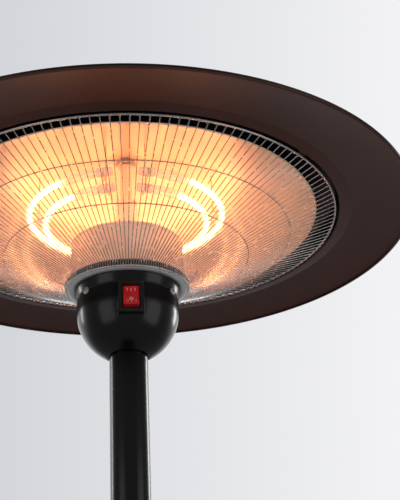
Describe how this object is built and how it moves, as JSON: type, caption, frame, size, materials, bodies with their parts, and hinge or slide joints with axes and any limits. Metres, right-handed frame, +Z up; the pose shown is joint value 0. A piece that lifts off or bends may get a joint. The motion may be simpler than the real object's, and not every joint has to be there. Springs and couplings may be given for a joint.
{
  "type": "outdoor heater",
  "caption": "Table-top electric patio heater: wide round hat over a wire-guarded ring-lamp head on a pole, with a rocker switch and a weighted round base.",
  "frame": {"origin": "centre of the foot ring underside, on the ground", "axes": "+Z up along the pole; the switch faces -Y; +X to the right seen from the front"},
  "size_m": [0.59, 0.59, 0.9052],
  "materials": {
    "black_powder_coat": "matt dark brown-black powder coat, fine texture",
    "black_gloss_enamel": "gloss black stoved enamel",
    "polished_aluminium": "bright rolled and polished sheet",
    "chrome_plate": "bright chrome plate",
    "zinc_plated_steel": "satin zinc plate",
    "lit_quartz": "clear quartz tube, lit filament",
    "steatite_ceramic": "unglazed off-white ceramic",
    "black_nylon": "moulded black plastic, fine satin",
    "red_rocker": "translucent red plastic with a lamp behind",
    "cast_iron": "rough sand casting",
    "black_rubber": "matt moulded rubber",
    "brass": "turned brass"
  },
  "bodies": {
    "frame": {"base_cover": "black_gloss_enamel", "base_flange": "zinc_plated_steel", "base_weight": "cast_iron", "bowl": "black_gloss_enamel", "bowl_screw_1": "chrome_plate", "bowl_screw_2": "chrome_plate", "bowl_screw_3": "chrome_plate", "cable_gland": "black_nylon", "canopy": "black_powder_coat", "canopy_bolt": "zinc_plated_steel", "canopy_seal": "black_rubber", "canopy_washer": "zinc_plated_steel", "centre_post": "zinc_plated_steel", "coupler_screw_lower": "zinc_plated_steel", "coupler_screw_upper": "zinc_plated_steel", "crown_spacer": "zinc_plated_steel", "drum": "polished_aluminium", "end_bracket_left": "zinc_plated_steel", "end_bracket_right": "zinc_plated_steel", "flange_bolt_1": "zinc_plated_steel", "flange_bolt_2": "zinc_plated_steel", "flange_bolt_3": "zinc_plated_steel", "foot_ring": "black_rubber", "frame_leg_1": "zinc_plated_steel", "frame_leg_2": "zinc_plated_steel", "frame_leg_3": "zinc_plated_steel", "gland_nut": "black_nylon", "guard": "chrome_plate", "guard_clip_1": "zinc_plated_steel", "guard_clip_2": "zinc_plated_steel", "guard_clip_3": "zinc_plated_steel", "guard_hub": "black_powder_coat", "head_bracket": "zinc_plated_steel", "head_screw": "zinc_plated_steel", "lamp_clip_1": "zinc_plated_steel", "lamp_clip_2": "zinc_plated_steel", "lamp_clip_3": "zinc_plated_steel", "lamp_ferrule_inner_left": "steatite_ceramic", "lamp_ferrule_inner_right": "steatite_ceramic", "lamp_ferrule_outer_left": "steatite_ceramic", "lamp_ferrule_outer_right": "steatite_ceramic", "lamp_inner": "lit_quartz", "lamp_outer": "lit_quartz", "lower_pole": "black_gloss_enamel", "pole_coupler": "zinc_plated_steel", "post_sleeve": "polished_aluminium", "reflector": "polished_aluminium", "reflector_nut": "zinc_plated_steel", "reflector_spacer_1": "zinc_plated_steel", "reflector_spacer_2": "zinc_plated_steel", "reflector_spacer_3": "zinc_plated_steel", "switch_housing": "black_nylon", "terminal_block": "steatite_ceramic", "thermal_cutout": "black_nylon", "tilt_case": "black_nylon", "trim_ring": "chrome_plate", "upper_pole": "black_gloss_enamel"},
    "rocker": {"rocker_button": "red_rocker"},
    "tilt_bob": {"tilt_pendulum": "brass"}
  },
  "joints": [
    {"name": "rocker_hinge", "type": "hinge", "parent": "frame", "child": "rocker", "pos_m": [0, -0.0477, 0.7003], "axis": [1, 0, 0], "range_deg": [0, 22]},
    {"name": "tilt_hinge", "type": "hinge", "parent": "frame", "child": "tilt_bob", "pos_m": [-0.021, 0.013, 0.7046], "axis": [0, 1, 0], "range_deg": [-13, 13]}
  ]
}
